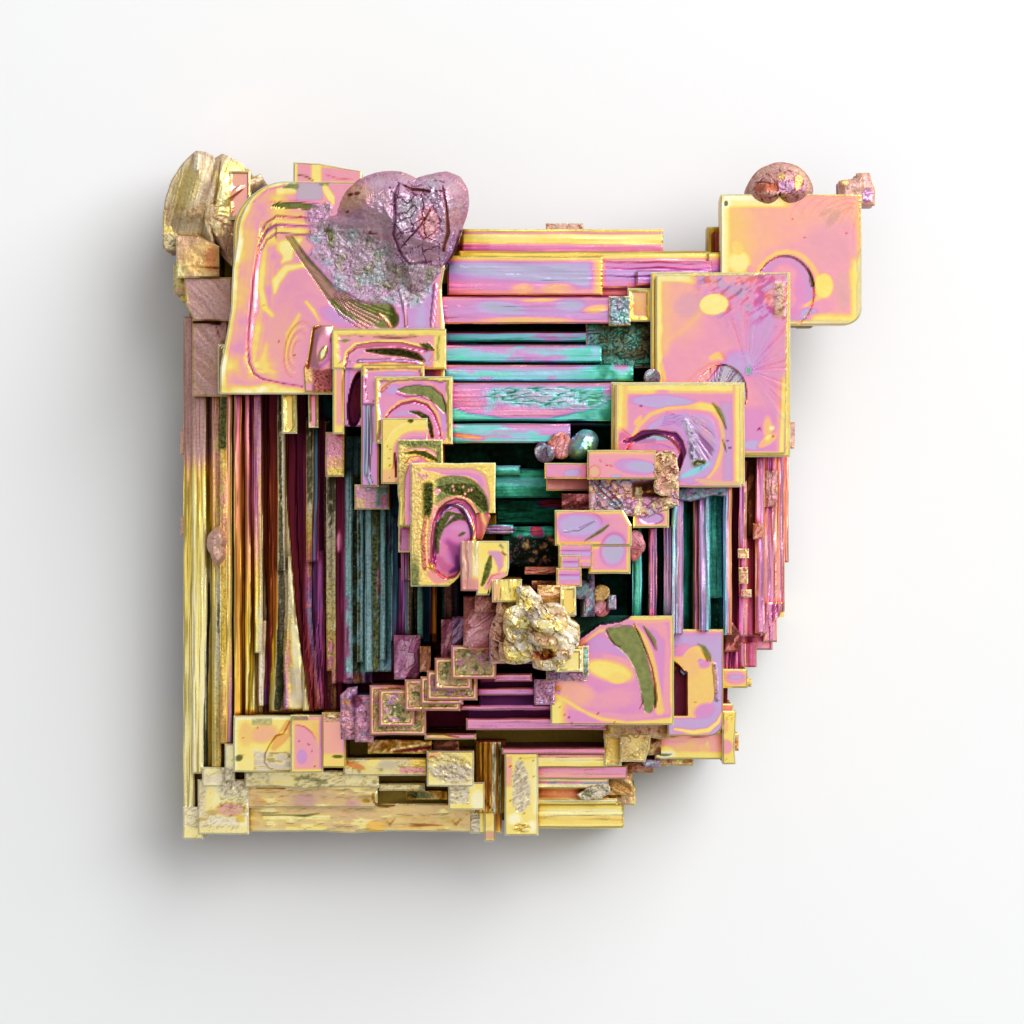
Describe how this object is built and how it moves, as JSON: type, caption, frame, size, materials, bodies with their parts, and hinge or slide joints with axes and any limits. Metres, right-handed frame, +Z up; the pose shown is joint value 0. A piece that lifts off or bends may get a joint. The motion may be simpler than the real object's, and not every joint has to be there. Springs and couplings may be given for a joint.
{
  "type": "bismuth hopper crystal",
  "caption": "Iridescent stepped metal crystal: square plates climb four diagonal arms to an off-centre peak, with deep ribbed hollows between them.",
  "frame": {"origin": "centre of the bounding box's bottom, on the surface the crystal lies on", "axes": "+Z up out of the stepped side, +Y towards the side with the cracked rounded growth on its left-hand corner plate, +X to the right of it"},
  "size_m": [0.0504, 0.049, 0.026],
  "materials": {
    "bismuth_oxide": "smooth metal under a thin iridescent oxide film, pink and yellow with green, blue and lavender bands"
  },
  "bodies": {
    "root": {"bismuth_crystal": "bismuth_oxide"}
  },
  "joints": []
}
